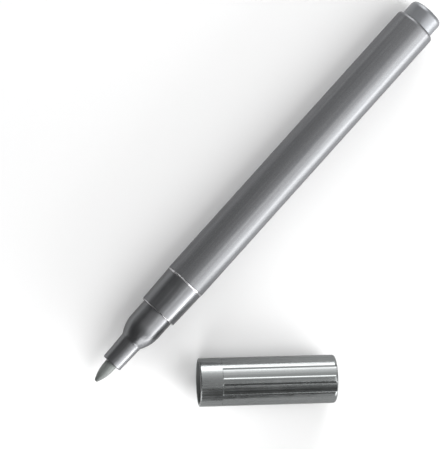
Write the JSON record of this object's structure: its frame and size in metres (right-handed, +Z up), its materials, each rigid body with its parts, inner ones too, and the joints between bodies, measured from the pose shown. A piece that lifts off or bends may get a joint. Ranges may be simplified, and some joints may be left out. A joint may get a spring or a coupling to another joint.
{
  "type": "paint marker",
  "caption": "Slim silver paint marker lying on a table with its fluted cap off: bullet nib, stepped nose, sprung valve and loose mixing ball inside the barrel.",
  "frame": {"origin": "on the table under the middle of the box that holds the pen and its cap", "axes": "+X along the pen from nib to tail, +Z up from the table, cap on the -Y side"},
  "size_m": [0.1334, 0.0574, 0.013],
  "materials": {
    "nib_fibre": "sintered fibre, damp with grey paint",
    "metallised_trim": "moulded plastic, vacuum metallised, glossy",
    "barrel_lacquer": "moulded plastic with satin silver lacquer",
    "plug_plastic": "moulded silver-grey plastic, satin",
    "metallised_cap": "moulded plastic, vacuum metallised, glossy",
    "natural_plastic": "natural polypropylene",
    "valve_plastic": "white polypropylene",
    "seal_rubber": "black nitrile rubber",
    "spring_steel": "drawn stainless wire",
    "ball_steel": "polished steel ball"
  },
  "bodies": {
    "pen": {"barrel": "barrel_lacquer", "tail_plug": "plug_plastic", "collar": "metallised_trim", "nose": "metallised_trim", "valve_gasket": "seal_rubber", "valve_housing": "natural_plastic", "valve_spring": "spring_steel", "spring_retainer": "valve_plastic"},
    "nib": {"nib": "nib_fibre"},
    "valve_stem": {"valve_stem": "valve_plastic"},
    "mixing_ball": {"mixing_ball": "ball_steel"},
    "cap": {"cap_shell": "metallised_cap", "inner_cap": "natural_plastic"}
  },
  "joints": [
    {"name": "cap_lift", "type": "slide", "parent": "pen", "child": "cap", "axis": [0, 0, 1], "range_m": [0, 0.04]},
    {"name": "nib_press", "type": "slide", "parent": "pen", "child": "nib", "axis": [1, 0, 0], "range_m": [0, 0.0016], "stiffness_N_per_m": 500},
    {"name": "valve_open", "type": "slide", "parent": "pen", "child": "valve_stem", "axis": [1, 0, 0], "range_m": [0, 0.0016], "deforming": ["valve_spring"]},
    {"name": "ball_roll", "type": "slide", "parent": "pen", "child": "mixing_ball", "axis": [1, 0, 0], "range_m": [-0.0193, 0.0485]}
  ],
  "couplings": [
    {"joint": "valve_open", "follows": "nib_press", "ratio": 1}
  ]
}
